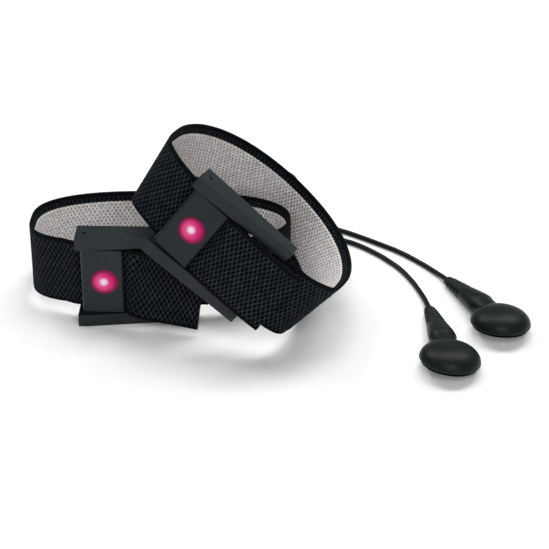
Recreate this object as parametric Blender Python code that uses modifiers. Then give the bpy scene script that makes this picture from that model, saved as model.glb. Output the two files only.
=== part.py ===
"""A pair of elastic earthing wrist straps, each with a cam-lever buckle and a snap lead.

Strap A stands on the floor. Strap B leans over strap A's right end, its buckle on A's buckle.
Each strap is modelled in its own frame, held by an empty: x runs along the buckle from the
lever's pivot to the cross bar, y from the outside of the band to the wrist, z across the band.
Metres, +Z up, floor at z = 0. The origin is below the middle of the two straps' own box.
"""
import math

import bmesh
import bpy
from mathutils import Euler, Matrix, Vector

for old in list(bpy.data.objects):
    bpy.data.objects.remove(old, do_unlink=True)

# ---------------------------------------------------------------- driving dimensions
# Webbing
BAND_WIDTH = 0.0250
BAND_THICK = 0.0012
LINING_WIDTH = 0.0182
LINING_THICK = 0.00035
LINING_GAP = 0.0003
# Buckle frame
FRAME_LENGTH = 0.0392
RAIL_WIDTH = 0.0044
RAIL_CLEAR = 0.0002          # between the band's edge and a rail
FACE_OUT = 0.0066            # front of the rails at the pivot, in front of the band
DEPTH_PIVOT_END = 0.0099
DEPTH_BAR_END = 0.0052
PLATE_THICK = 0.0013
PLATE_LENGTH = 0.0240
BAR_RADIUS = 0.0010
BAR_INSET = 0.0025           # cross bar's axis from the frame's end
BAR_Y = 0.0013
EDGE_ROUND = 0.0004
# Cam lever
LEVER_LENGTH = 0.0143
LEVER_OUT = 0.0051           # lever's face, in front of the band
LEVER_SIDE_GAP = 0.0007
LEVER_THICK = 0.0016
LEVER_INSET = 0.0015         # lever's edge from the frame's end
PIVOT_INSET = 0.0030
CAM_RADIUS = 0.0015
CAM_GAP = 0.00035            # cam's sole above the band
CAM_TOOTH = 0.0003
PIN_RADIUS = 0.0007
PIN_CLEAR = 0.00008
PIN_RECESS = 0.0007
# Band's end, folded round the cross bar and sewn down
WRAP_GAP = 0.0003
FLAP_START = 0.0035          # where the flap meets the band, from the cross bar
FLAP_LENGTH = 0.0080
THREAD_RADIUS = 0.00022
TACK_STITCHES = 11
TACK_WIDTH = 0.0180
TACK_LENGTH = 0.0024
# Snap on the back of each band
STUD_FLANGE_R = 0.0044
STUD_FLANGE_T = 0.0005
STUD_POST_R = 0.0018
STUD_BULB_R = 0.0022
STUD_HEIGHT = 0.0034
RIVET_R = 0.0009
RIVET_FLANGE_R = 0.0030
RIVET_FLANGE_T = 0.0003
SEAT_GAP = 0.0003
# Moulded snap ends
SOCKET_R = 0.0047
SOCKET_BORE_R = 0.0026
SOCKET_HEIGHT = 0.0026
HEAD_RADIUS = 0.0104
HEAD_HEIGHT = 0.0068
HEAD_BOOT_END = 0.0351       # cord's end of the boot, from the head's axis
HEAD_SOCKET_DROP = 0.0017    # socket below the head's base
CAP_RADIUS = 0.0080
CAP_HEIGHT = 0.0078
CAP_BOOT_END = 0.0210
RESISTOR_R = 0.0009
RESISTOR_LENGTH = 0.0062
# Lead
CORD_DIAMETER = 0.0018
COLLAR_RADIUS = 0.0021
JOINT_GAP = 0.0003           # between a cord's end and what it enters
COIL_MEAN_DIAMETER = 0.0216
COIL_TURNS = 9.5
COIL_LAYERS = 4
COIL_PITCH = CORD_DIAMETER + 0.00048
LOOP_POINTS = 24
TIE_THICK = 0.0007
TIE_WIDTH = 0.0030
TIE_GAP = 0.0004

HALF_BAND = BAND_WIDTH / 2
HALF_LENGTH = FRAME_LENGTH / 2
RAIL_IN = HALF_BAND + RAIL_CLEAR
RAIL_OUT = RAIL_IN + RAIL_WIDTH
FRAME_REAR = DEPTH_PIVOT_END - FACE_OUT
PIVOT_X = -HALF_LENGTH + PIVOT_INSET
PIVOT_Y = -CAM_GAP - CAM_RADIUS
BAR_X = HALF_LENGTH - BAR_INSET
LIP_X = -HALF_LENGTH + LEVER_INSET + LEVER_LENGTH
CORD_RADIUS = CORD_DIAMETER / 2
# The room's place for the part's origin, under the middle of the two straps.
ORIGIN = Vector((-0.02918, -0.00902, 0.0))

# ---------------------------------------------------------------- the two straps
# A strap's lower rail stands on the floor, so its height follows the rail's. The tail's points
# are from the lever's lip along the buckle, out from the band, and across it, with their lean.
STRAPS = {
    "a": {
        "place": (-0.0475, -0.0219, RAIL_OUT),
        "turn_deg": (0.0, 0.0, -1.6),
        "ring": {"half_length": 0.0453, "centre_x": 0.0072, "depth": 0.0458, "widest_y": 0.0222,
                 "left_power": 3.4, "right_power": 2.2, "rear_power": 2.5,
                 "lean_sides": 0.0, "lean_rear": 0.0, "sink": RAIL_OUT - HALF_BAND},
        "tail": [(0.0026, -0.0053, -0.0001, -0.05), (0.0068, -0.0063, -0.0008, -0.14),
                 (0.0128, -0.0071, -0.0013, -0.19), (0.0188, -0.0078, -0.0018, -0.22),
                 (0.0268, -0.0088, -0.0025, -0.30)],
        "stud_angle_deg": 76.0,
        "cap_turn_deg": 0.0,
    },
    "b": {
        "place": (-0.0181, -0.0363, 2.6 * RAIL_OUT - 0.00788),
        "turn_deg": (-13.4, 34.8, -25.6),
        "ring": {"half_length": 0.0368, "centre_x": 0.0007, "depth": 0.0604, "widest_y": 0.0215,
                 "left_power": 4.0, "right_power": 4.0, "rear_power": 1.93,
                 "lean_sides": 0.14, "lean_rear": -0.26, "sink": 0.0},
        "tail": [(0.0026, -0.0053, 0.0001, 0.0), (0.0068, -0.0059, 0.0003, 0.0), (0.0128, -0.0059, 0.0003, 0.0),
                 (0.0198, -0.0054, 0.0002, 0.0), (0.0258, -0.0046, 0.0, 0.0), (0.0313, -0.0037, 0.0, 0.0)],
        "stud_angle_deg": 70.0,
        "cap_turn_deg": -35.5,
    },
}
# Routes of the leads' free stretches, in the room, chosen by hand. Each start runs from its
# wrist cap to its coil, and each end from its coil to its snap head.
LEADS = {
    "a": {
        "coil_centre": (-0.0350, 0.0500),
        "start": [(-0.0560, 0.0310, 0.0112), (-0.0580, 0.0350, 0.0104), (-0.0565, 0.0395, 0.0100),
                  (-0.0519, 0.0418, 0.0096)],
        "end": [(-0.0211, 0.0438, 0.0014), (-0.0180, 0.0405, 0.0010), (-0.0120, 0.0386, 0.00095),
                (-0.0040, 0.0374, 0.00095), (0.0080, 0.0358, 0.00095), (0.0180, 0.0328, 0.00095),
                (0.0285, 0.0276, 0.00095), (0.0370, 0.0199, 0.00095), (0.0411, 0.0148, 0.00095),
                (0.0451, 0.0089, 0.00095), (0.0489, 0.0005, 0.00095), (0.0507, -0.0049, 0.0010),
                (0.0524, -0.0115, 0.0013)],
        "head_place": (0.0580, -0.0549, 0.0026),
        "head_turn_deg": (7.0, 6.0, 97.5),
    },
    "b": {
        "coil_centre": (-0.0040, 0.0580),
        "start": [(-0.0160, 0.0290, 0.0165), (-0.0192, 0.0330, 0.0150), (-0.0200, 0.0390, 0.0128),
                  (-0.0190, 0.0450, 0.0111), (-0.0178, 0.0505, 0.0100)],
        "end": [(0.0097, 0.0512, 0.0014), (0.0114, 0.0468, 0.0010), (0.0148, 0.0428, 0.00095),
                (0.0200, 0.0396, 0.00095), (0.0287, 0.0341, 0.00095), (0.0373, 0.0277, 0.00095),
                (0.0458, 0.0207, 0.00095), (0.0539, 0.0116, 0.0010), (0.0577, 0.0062, 0.0012)],
        "head_place": (0.0770, -0.0321, 0.0026),
        "head_turn_deg": (7.0, 6.0, 116.7),
    },
}

# ---------------------------------------------------------------- scene helpers
parts = bpy.data.collections.new("earthing_wrist_straps")
cutters = bpy.data.collections.new("cutters")
bpy.context.scene.collection.children.link(parts)
bpy.context.scene.collection.children.link(cutters)


def finish_material(name, colour, roughness, metallic=0.0):
    """A Principled material in the part's own colour."""
    material = bpy.data.materials.new(name)
    material.use_nodes = True
    shader = material.node_tree.nodes["Principled BSDF"]
    shader.inputs["Base Color"].default_value = (*colour, 1.0)
    shader.inputs["Roughness"].default_value = roughness
    shader.inputs["Metallic"].default_value = metallic
    return material


WEBBING = finish_material("black_webbing", (0.012, 0.012, 0.014), 0.85)
LINING = finish_material("silver_fibre_lining", (0.52, 0.49, 0.46), 0.75)
PLASTIC = finish_material("black_plastic", (0.022, 0.024, 0.027), 0.38)
STEEL = finish_material("nickelled_steel", (0.55, 0.54, 0.52), 0.28, 1.0)
THREAD = finish_material("black_thread", (0.015, 0.015, 0.016), 0.7)
MOULDING = finish_material("soft_moulding", (0.030, 0.034, 0.036), 0.48)
SHEATH = finish_material("lead_sheath", (0.022, 0.024, 0.025), 0.5)
BEAD = finish_material("resistor_body", (0.45, 0.33, 0.20), 0.45)


def place(obj, material, parent=None, smooth_deg=35.0):
    """Put an object in the model with its material, parent and shading."""
    for other in list(obj.users_collection):
        other.objects.unlink(obj)
    parts.objects.link(obj)
    obj.data.materials.clear()
    obj.data.materials.append(material)
    obj.parent = parent
    if obj.type == "MESH":
        obj.data.shade_smooth()
        obj.data.set_sharp_from_angle(angle=math.radians(smooth_deg))
    return obj


def empty(name, location, rotation, parent=None):
    """A frame that carries pieces."""
    holder = bpy.data.objects.new(name, None)
    parts.objects.link(holder)
    holder.parent = parent
    holder.location = location
    holder.rotation_euler = rotation
    return holder


def mesh_object(name, bm):
    """A new object from a bmesh, in no collection of the model yet."""
    mesh = bpy.data.meshes.new(name)
    bm.to_mesh(mesh)
    bm.free()
    obj = bpy.data.objects.new(name, mesh)
    cutters.objects.link(obj)
    return obj


def evaluated_copy(obj):
    """Replace a curve or a modified object by the mesh that it evaluates to."""
    bpy.context.view_layer.update()
    depsgraph = bpy.context.evaluated_depsgraph_get()
    mesh = bpy.data.meshes.new_from_object(obj.evaluated_get(depsgraph))
    bm = bmesh.new()
    bm.from_mesh(mesh)
    bmesh.ops.remove_doubles(bm, verts=bm.verts, dist=1e-6)
    bmesh.ops.recalc_face_normals(bm, faces=bm.faces)
    bm.to_mesh(mesh)
    bm.free()
    copy = bpy.data.objects.new(obj.name, mesh)
    copy.matrix_world = obj.matrix_world.copy()
    cutters.objects.link(copy)
    name = obj.name
    bpy.data.objects.remove(obj, do_unlink=True)
    copy.name = name
    return copy


def prism(name, outline, z_low, z_high, holes=()):
    """A flat outline in x and y, as a 2D curve, thickened from z_low to z_high."""
    curve = bpy.data.curves.new(name, "CURVE")
    curve.dimensions = "2D"
    curve.fill_mode = "BOTH"
    curve.extrude = (z_high - z_low) / 2
    for ring in (outline, *holes):
        spline = curve.splines.new("POLY")
        spline.points.add(len(ring) - 1)
        for point, (x, y) in zip(spline.points, ring):
            point.co = (x, y, 0.0, 1.0)
        spline.use_cyclic_u = True
    obj = bpy.data.objects.new(name, curve)
    cutters.objects.link(obj)
    solid = evaluated_copy(obj)
    solid.data.transform(Matrix.Translation((0, 0, (z_low + z_high) / 2)))
    return solid


def turned(name, profile, sides):
    """A profile of (radius, height), from the top down, turned round z by a Screw modifier."""
    bm = bmesh.new()
    points = [bm.verts.new((radius, 0.0, height)) for radius, height in profile]
    for first, second in zip(points, points[1:]):
        bm.edges.new((first, second))
    obj = mesh_object(name, bm)
    screw = obj.modifiers.new("turn", "SCREW")
    screw.steps = screw.render_steps = sides
    screw.use_merge_vertices = True
    screw.merge_threshold = 1e-5
    return obj


def cylinder(name, radius, length, centre, axis="Z", sides=20):
    """A primitive cylinder whose axis is x, y or z."""
    bm = bmesh.new()
    bmesh.ops.create_cone(bm, cap_ends=True, segments=sides, radius1=radius, radius2=radius, depth=length)
    turn = {"X": Matrix.Rotation(math.pi / 2, 4, "Y"), "Y": Matrix.Rotation(math.pi / 2, 4, "X"),
            "Z": Matrix.Identity(4)}[axis]
    bm.transform(Matrix.Translation(centre) @ turn)
    return mesh_object(name, bm)


def box(name, low, high):
    """A primitive cube between two corners."""
    bm = bmesh.new()
    bmesh.ops.create_cube(bm, size=1.0)
    size = Vector(high) - Vector(low)
    centre = (Vector(high) + Vector(low)) / 2
    bm.transform(Matrix.Translation(centre) @ Matrix.Diagonal((*size, 1.0)))
    return mesh_object(name, bm)


def combine(target, other, operation):
    """Apply a Boolean of another object to the target, and remove the other."""
    boolean = target.modifiers.new(operation.lower(), "BOOLEAN")
    boolean.operation = operation
    boolean.solver = "EXACT"
    boolean.object = other
    other.hide_render = True
    other.display_type = "WIRE"
    result = evaluated_copy(target)
    bpy.data.objects.remove(other, do_unlink=True)
    return result


def round_edges(obj, width, segments=2, angle_deg=50.0):
    """Round the sharp edges of a mesh."""
    bevel = obj.modifiers.new("round", "BEVEL")
    bevel.width = width
    bevel.segments = segments
    bevel.limit_method = "ANGLE"
    bevel.angle_limit = math.radians(angle_deg)


# ---------------------------------------------------------------- curves of the band
def smooth_points(points, step):
    """Points at an even step along a centripetal Catmull-Rom curve through the given points."""
    points = [Vector(point) for point in points]
    padded = [2 * points[0] - points[1], *points, 2 * points[-1] - points[-2]]
    dense = []
    for p0, p1, p2, p3 in zip(padded, padded[1:], padded[2:], padded[3:]):
        k1 = math.sqrt((p1 - p0).length)
        k2 = k1 + math.sqrt((p2 - p1).length)
        k3 = k2 + math.sqrt((p3 - p2).length)
        for index in range(20):
            k = k1 + (k2 - k1) * index / 20
            a1 = p0.lerp(p1, k / k1)
            a2 = p1.lerp(p2, (k - k1) / (k2 - k1))
            a3 = p2.lerp(p3, (k - k2) / (k3 - k2))
            b1 = a1.lerp(a2, k / k2)
            b2 = a2.lerp(a3, (k - k1) / (k3 - k1))
            dense.append(b1.lerp(b2, (k - k1) / (k2 - k1)))
    dense.append(points[-1])
    return even_points(dense, step)


def even_points(dense, step):
    """The same polyline with its points spread evenly, about a step apart."""
    reach = [0.0]
    for first, second in zip(dense, dense[1:]):
        reach.append(reach[-1] + (second - first).length)
    count = max(2, round(reach[-1] / step))
    result, index = [], 0
    for number in range(count + 1):
        target = reach[-1] * number / count
        while index < len(reach) - 2 and reach[index + 1] < target:
            index += 1
        span = reach[index + 1] - reach[index]
        share = 0.0 if span == 0 else (target - reach[index]) / span
        result.append(dense[index].lerp(dense[index + 1], share))
    return result


def length_of(points):
    """Length of a polyline."""
    return sum((second - first).length for first, second in zip(points, points[1:]))


def ring_point(ring, angle):
    """A point on the ring: superellipses to the left and right in front, and behind its widest line."""
    cosine, sine = math.cos(angle), math.sin(angle)
    front_power = ring["left_power"] if cosine < 0 else ring["right_power"]
    power = ring["rear_power"] if sine >= 0 else front_power
    reach = ring["depth"] - ring["widest_y"] if sine >= 0 else ring["widest_y"]
    x = math.copysign(abs(cosine) ** (2 / power), cosine)
    y = ring["widest_y"] + math.copysign(reach * abs(sine) ** (2 / power), sine)
    sunk = -ring["sink"] * max(y, 0.0) / ring["depth"]
    return Vector((ring["centre_x"] + ring["half_length"] * x, y, sunk))


def ring_path(ring):
    """Outer face of the band from the cross bar round the wrist to the cam."""
    bar_back = BAR_Y + BAR_RADIUS + WRAP_GAP
    points = [Vector((BAR_X, bar_back, 0.0)), Vector((HALF_LENGTH + 0.0004, bar_back - 0.0003, 0.0))]
    for step in range(-56, 237, 4):
        point = ring_point(ring, math.radians(step))
        beyond_frame = point.x > HALF_LENGTH + 0.0045 or point.x < -HALF_LENGTH - 0.0035
        if point.y > 0.002 or beyond_frame:
            points.append(point)
    points += [Vector((-HALF_LENGTH - 0.0005, 0.0, 0.0)), Vector((PIVOT_X + 0.0040, 0.0, 0.0))]
    return points


def outward_normals(points):
    """Outward normals of a path that runs anticlockwise round the wrist."""
    normals = []
    for index in range(len(points)):
        before = points[max(index - 1, 0)]
        after = points[min(index + 1, len(points) - 1)]
        along = after - before
        normals.append(Vector((along.y, -along.x, 0.0)).normalized())
    return normals


def flap_path(ring_line):
    """The sewn flap, from its end to the cross bar, one gap in front of the band."""
    flap, reach = [], 0.0
    for index, normal in enumerate(outward_normals(ring_line)):
        if FLAP_START < reach < FLAP_LENGTH:
            flap.append(ring_line[index] + normal * WRAP_GAP)
        reach += (ring_line[index + 1] - ring_line[index]).length
        if reach > FLAP_LENGTH:
            break
    return flap[::-1]


def wrap_path(ring_line):
    """The band's sewn end: its flap, then the turn round the cross bar's left side.

    The band's outer face is the one that meets the bar, so the path runs on that side.
    """
    inner = BAR_RADIUS + WRAP_GAP
    centre = Vector((BAR_X, BAR_Y, 0.0))
    points = flap_path(ring_line)
    for angle in range(-75, -271, -13):
        turn = math.radians(angle)
        points.append(centre + inner * Vector((math.cos(turn), math.sin(turn), 0.0)))
    return smooth_points(points, 0.0007)[:-1]


def lean_at(ring, point):
    """How far the band's upper edge leans outward, at the ring's sides and rear, behind the buckle."""
    depth = min(max((point.y - 0.0030) / 0.007, 0.0), 1.0)
    side = min(abs(point.x - ring["centre_x"]) / ring["half_length"], 1.0)
    lean = ring["lean_rear"] + (ring["lean_sides"] - ring["lean_rear"]) * side * side
    return lean * depth * depth * (3 - 2 * depth)


def across_and_outward(points, index, lean):
    """Unit vectors across the band and out of its face, at a point where the band leans."""
    along = (points[min(index + 1, len(points) - 1)] - points[max(index - 1, 0)]).normalized()
    across = Vector((0, 0, 1)) + lean * Vector((along.y, -along.x, 0.0)).normalized()
    across = (across - along * across.dot(along)).normalized()
    return across, along.cross(across)


def tail_lean_at(tail, point):
    """The tail's lean at a point, between the leans that are given along it."""
    reach = point.x - LIP_X
    if reach <= tail[0][0]:
        return tail[0][3] * max(0.0, 1.0 - (tail[0][0] - reach) / 0.004)
    for before, after in zip(tail, tail[1:]):
        if reach <= after[0]:
            share = (reach - before[0]) / (after[0] - before[0])
            return before[3] + (after[3] - before[3]) * share
    return tail[-1][3]


def ribbon(name, points, leans, width, inset, thick, material, parent):
    """A strip of webbing whose outer face lies inset behind the path, with its thickness behind it."""
    bm = bmesh.new()
    rows = []
    for index, lean in enumerate(leans):
        across, outward = across_and_outward(points, index, lean)
        seat = points[index] - outward * inset
        rows.append([bm.verts.new(seat - across * width / 2), bm.verts.new(seat + across * width / 2)])
    for (low, high), (next_low, next_high) in zip(rows, rows[1:]):
        bm.faces.new((low, next_low, next_high, high))
    obj = mesh_object(name, bm)
    solidify = obj.modifiers.new("thickness", "SOLIDIFY")
    solidify.thickness = thick
    solidify.offset = -1.0
    solidify.use_even_offset = True
    return place(obj, material, parent)


# ---------------------------------------------------------------- buckle
def make_frame(name, parent):
    """Moulded frame: two tapered rails, a floor plate under the cam and a cross bar."""
    half, front = HALF_LENGTH, -FACE_OUT
    bar_end_front = FRAME_REAR - DEPTH_BAR_END
    rail_outline = [(-half, front), (-half + 0.0030, front), (half, bar_end_front),
                    (half, FRAME_REAR), (-half, FRAME_REAR)]
    frame = prism(name, rail_outline, RAIL_IN, RAIL_OUT)
    frame = combine(frame, prism("lower_rail", rail_outline, -RAIL_OUT, -RAIL_IN), "UNION")
    overlap = RAIL_WIDTH * 0.3
    plate = box("plate", (-half + 0.0004, FRAME_REAR - PLATE_THICK, -RAIL_IN - overlap),
                (-half + PLATE_LENGTH, FRAME_REAR - 0.0002, RAIL_IN + overlap))
    frame = combine(frame, plate, "UNION")
    bar = cylinder("bar", BAR_RADIUS, 2 * (RAIL_IN + overlap), (BAR_X, BAR_Y, 0.0), sides=14)
    frame = combine(frame, bar, "UNION")
    hole = cylinder("hole", PIN_RADIUS + PIN_CLEAR, 2 * RAIL_OUT + 0.002, (PIVOT_X, PIVOT_Y, 0.0), sides=16)
    frame = combine(frame, hole, "DIFFERENCE")
    round_edges(frame, EDGE_ROUND)
    return place(frame, PLASTIC, parent)


def lever_outline():
    """Side view of the cam lever about its pivot, which is the outline's origin."""
    face = -LEVER_OUT - PIVOT_Y
    left = -HALF_LENGTH + LEVER_INSET - PIVOT_X
    right = left + LEVER_LENGTH
    corner = 0.0011
    outline = []
    for angle in range(180, 89, -18):
        turn = math.radians(angle)
        outline.append((CAM_RADIUS * math.cos(turn), CAM_RADIUS * math.sin(turn)))
    for tooth in range(4):
        x = 0.0007 + tooth * 0.0008
        outline += [(x, CAM_RADIUS - CAM_TOOTH), (x + 0.0004, CAM_RADIUS)]
    outline += [(0.0040, CAM_RADIUS - 0.0006), (0.0052, 0.0), (0.0056, face + LEVER_THICK + 0.0003),
                (0.0062, face + LEVER_THICK)]
    outline += [(right - 0.0006, face + LEVER_THICK), (right, face + LEVER_THICK - 0.0005),
                (right, face + 0.0004), (right - 0.0004, face)]
    for angle in range(270, 179, -18):
        turn = math.radians(angle)
        outline.append((left + corner + corner * math.cos(turn), face + corner + corner * math.sin(turn)))
    return outline


def make_lever(name, strap_frame):
    """Cam lever, with its origin on the pivot: it opens as its free end lifts away from the band."""
    half_width = RAIL_IN - LEVER_SIDE_GAP
    lever = prism(name, lever_outline(), -half_width, half_width)
    bore = cylinder("bore", PIN_RADIUS + PIN_CLEAR, 2 * half_width + 0.002, (0.0, 0.0, 0.0), sides=16)
    lever = combine(lever, bore, "DIFFERENCE")
    round_edges(lever, 0.0002, segments=1)
    lever = place(lever, PLASTIC, strap_frame)
    lever.location = (PIVOT_X, PIVOT_Y, 0.0)
    return lever


def make_pin(name, strap_frame):
    """Steel pivot pin, set a little inside the rails' outer faces."""
    pin = cylinder(name, PIN_RADIUS, 2 * (RAIL_OUT - PIN_RECESS), (0.0, 0.0, 0.0), sides=16)
    pin = place(pin, STEEL, strap_frame)
    pin.location = (PIVOT_X, PIVOT_Y, 0.0)
    return pin


def tube(name, points, radius, material, parent=None, resolution=2):
    """A round wire or cord along a polyline."""
    curve = bpy.data.curves.new(name, "CURVE")
    curve.dimensions = "3D"
    curve.bevel_depth = radius
    curve.bevel_resolution = resolution
    curve.use_fill_caps = True
    spline = curve.splines.new("POLY")
    spline.points.add(len(points) - 1)
    for point, position in zip(spline.points, points):
        point.co = (*position, 1.0)
    obj = bpy.data.objects.new(name, curve)
    cutters.objects.link(obj)
    return place(obj, material, parent)


def make_tack(name, ring_line, strap_frame):
    """Zigzag of thread that sews the flap down."""
    flap = flap_path(ring_line)
    middle = flap[len(flap) // 2]
    along = (flap[0] - flap[-1]).normalized()
    outward = Vector((along.y, -along.x, 0.0))
    seat = middle + outward * (BAND_THICK + WRAP_GAP + THREAD_RADIUS + 0.0004)
    points = []
    for stitch in range(TACK_STITCHES + 1):
        side = TACK_LENGTH / 2 if stitch % 2 else -TACK_LENGTH / 2
        height = TACK_WIDTH * (stitch / TACK_STITCHES - 0.5)
        points.append(seat + along * side + Vector((0.0, 0.0, height)))
    return tube(name, points, THREAD_RADIUS, THREAD, strap_frame, resolution=1)


# ---------------------------------------------------------------- snap on the band's back
def stud_frame_matrix(ring, points, angle_deg):
    """Where the snap sits: the outer face's point, with z outward and x along the band."""
    target = ring_point(ring, math.radians(angle_deg))
    index = min(range(len(points)), key=lambda number: (points[number] - target).length)
    across, outward = across_and_outward(points, index, lean_at(ring, points[index]))
    along = across.cross(outward)
    turn = Matrix((along, across, outward)).transposed().to_4x4()
    return Matrix.Translation(points[index]) @ turn


def make_stud(name, parent):
    """Snap stud, with a bore for its rivet."""
    base = SEAT_GAP
    neck = base + STUD_FLANGE_T + 0.0008
    profile = [(0.0, STUD_HEIGHT), (STUD_BULB_R - 0.0006, STUD_HEIGHT), (STUD_BULB_R, STUD_HEIGHT - 0.0007),
               (STUD_POST_R, neck), (STUD_POST_R + 0.0002, base + STUD_FLANGE_T),
               (STUD_FLANGE_R, base + STUD_FLANGE_T), (STUD_FLANGE_R, base),
               (RIVET_R + SEAT_GAP, base), (RIVET_R + SEAT_GAP, base + 0.0020), (0.0, base + 0.0020)]
    return place(turned(name, profile, 20), STEEL, parent)


def rivet_profile():
    """Rivet's side view: a shank through the band and a flange let into the band's inner side."""
    flange_top = -BAND_THICK + 0.0001 + RIVET_FLANGE_T
    return [(0.0, SEAT_GAP + 0.0015), (RIVET_R, SEAT_GAP + 0.0015), (RIVET_R, flange_top),
            (RIVET_FLANGE_R, flange_top), (RIVET_FLANGE_R, -BAND_THICK + 0.0001), (0.0, -BAND_THICK + 0.0001)]


def make_rivet(name, parent):
    """Rivet that holds the stud from the band's inner side."""
    return place(turned(name, rivet_profile(), 20), STEEL, parent)


def pierce_band(band, stud_frame):
    """Cut the rivet's hole and its shallow seat through the band."""
    flange_top = -BAND_THICK + 0.0001 + RIVET_FLANGE_T + 0.00015
    bore, seat = RIVET_R + SEAT_GAP, RIVET_FLANGE_R + SEAT_GAP
    profile = [(0.0, 0.0012), (bore, 0.0012), (bore, flange_top), (seat, flange_top),
               (seat, -BAND_THICK - 0.0010), (0.0, -BAND_THICK - 0.0010)]
    cutter = turned("rivet_cut", profile, 20)
    cutter.matrix_world = stud_frame
    bpy.context.view_layer.update()
    return combine(band, cutter, "DIFFERENCE")


# ---------------------------------------------------------------- moulded snap ends
def boot_profile(end_x, root_x, root_radius):
    """Radius along a strain relief, from the cord's end inward: collar, four ribs, smooth root."""
    collar_end = end_x - 0.0022
    ribs_end = end_x - (end_x - root_x) * 0.50
    rib = (collar_end - ribs_end) / 4
    profile = [(end_x, 0.0), (end_x, COLLAR_RADIUS - 0.0003), (end_x - 0.0004, COLLAR_RADIUS),
               (collar_end, COLLAR_RADIUS + 0.0001)]
    grow = (root_radius * 0.70 - COLLAR_RADIUS) / 4
    for number in range(4):
        x = collar_end - rib * number
        radius = COLLAR_RADIUS + 0.0002 + grow * (number + 0.5)
        profile += [(x - rib * 0.15, radius), (x - rib * 0.75, radius + grow * 0.4),
                    (x - rib * 0.85, radius - 0.0003)]
    profile += [(ribs_end - 0.0004, root_radius * 0.74), (ribs_end - 0.0040, root_radius * 0.89),
                (root_x + 0.0008, root_radius), (0.0015, root_radius * 0.9), (0.0015, 0.0)]
    return profile


def make_moulding(name, parent, radius, height, boot_end, root_radius, boot_height, flatten, recess):
    """A domed snap housing with its boot along x, hollow below for the socket."""
    dome = [(0.0, height), (radius * 0.30, height * 0.985), (radius * 0.55, height * 0.90),
            (radius * 0.78, height * 0.68), (radius * 0.93, height * 0.42), (radius, height * 0.20),
            (radius * 0.985, height * 0.07), (radius * 0.93, 0.0), (0.0, 0.0)]
    body = evaluated_copy(turned(name, dome, 24))
    profile = [(r, x) for x, r in boot_profile(boot_end, radius, root_radius)]
    boot = evaluated_copy(turned("boot", profile, 12))
    flat = Matrix.Diagonal((1.0, 1.0, flatten, 1.0))
    boot.data.transform(Matrix.Translation((0, 0, boot_height)) @ flat @ Matrix.Rotation(math.pi / 2, 4, "Y"))
    body = combine(body, boot, "UNION")
    hollow = cylinder("hollow", SOCKET_R + SEAT_GAP, 2 * recess, (0.0, 0.0, 0.0), sides=24)
    body = combine(body, hollow, "DIFFERENCE")
    return place(body, MOULDING, parent)


def make_socket(name, parent, low, height):
    """Female snap ring, whose lips grip a stud."""
    inner, lip = SOCKET_BORE_R, 0.0004
    profile = [(inner + lip, low + height), (SOCKET_R - 0.0003, low + height), (SOCKET_R, low + height - 0.0003),
               (SOCKET_R, low + 0.0003), (SOCKET_R - 0.0003, low), (inner + 0.0003, low),
               (inner, low + 0.0004), (inner + lip, low + 0.0009), (inner + lip, low + height)]
    return place(turned(name, profile, 24), STEEL, parent)


# ---------------------------------------------------------------- lead
def coil_size():
    """Outer and inner radius of the coil's centre line, and its lowest layer's height."""
    spread = COIL_PITCH * COIL_TURNS / COIL_LAYERS
    low = CORD_RADIUS + TIE_GAP + TIE_THICK
    return COIL_MEAN_DIAMETER / 2 + spread / 2, COIL_MEAN_DIAMETER / 2 - spread / 2, low


def coil_points(centre):
    """Centre line of the wound lead: from its outer top, clockwise, in and out, to its outer bottom."""
    outer, inner, low = coil_size()
    climb = COIL_LAYERS * 0.5 / COIL_TURNS
    count = round(COIL_TURNS * LOOP_POINTS)
    points = []
    for number in range(count + 1):
        turn = math.pi - 2 * math.pi * COIL_TURNS * number / count
        layer = COIL_LAYERS * number / count
        step = layer % 2.0
        share = 1.0 - step if step <= 1.0 else step - 1.0
        radius = inner + (outer - inner) * share
        height = low
        for reversal in range(1, COIL_LAYERS):
            rise = min(max((reversal + climb / 2 - layer) / climb, 0.0), 1.0)
            height += COIL_PITCH * rise * rise * (3 - 2 * rise)
        points.append(Vector((centre[0] + radius * math.cos(turn), centre[1] + radius * math.sin(turn), height)))
    lead_in = points[0] - Vector((0, CORD_DIAMETER, 0))
    lead_out = points[-1] - Vector((0, CORD_DIAMETER, 0))
    return [lead_in, *points, lead_out]


def least_gap(points):
    """Least clear distance between two turns of a coil, measured between its points' segments."""
    least = 1.0
    for i in range(0, len(points) - 1):
        for j in range(i + LOOP_POINTS // 2, len(points) - 1):
            a, b = (points[i] + points[i + 1]) / 2, (points[j] + points[j + 1]) / 2
            least = min(least, (a - b).length, (points[i] - points[j]).length)
    return least - CORD_DIAMETER


def make_tie(name, centre):
    """Flat tie round the coil's turns, on the coil's far side."""
    outer, inner, low = coil_size()
    near = CORD_RADIUS + TIE_GAP
    top = low + COIL_PITCH * (COIL_LAYERS - 1) + near
    hole = [(inner - near, low - near), (outer + near, low - near), (outer + near, top), (inner - near, top)]
    t = TIE_THICK
    shape = [(inner - near - t, low - near - t), (outer + near + t, low - near - t),
             (outer + near + t, top + t), (inner - near - t, top + t)]
    tie = prism(name, shape, -TIE_WIDTH / 2, TIE_WIDTH / 2, holes=[hole])
    upright = Matrix(((0, 0, 1, 0), (1, 0, 0, 0), (0, 1, 0, 0), (0, 0, 0, 1)))
    tie.data.transform(Matrix.Translation((*centre, 0.0)) @ upright)
    round_edges(tie, 0.0002, segments=1)
    return place(tie, SHEATH)


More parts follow.
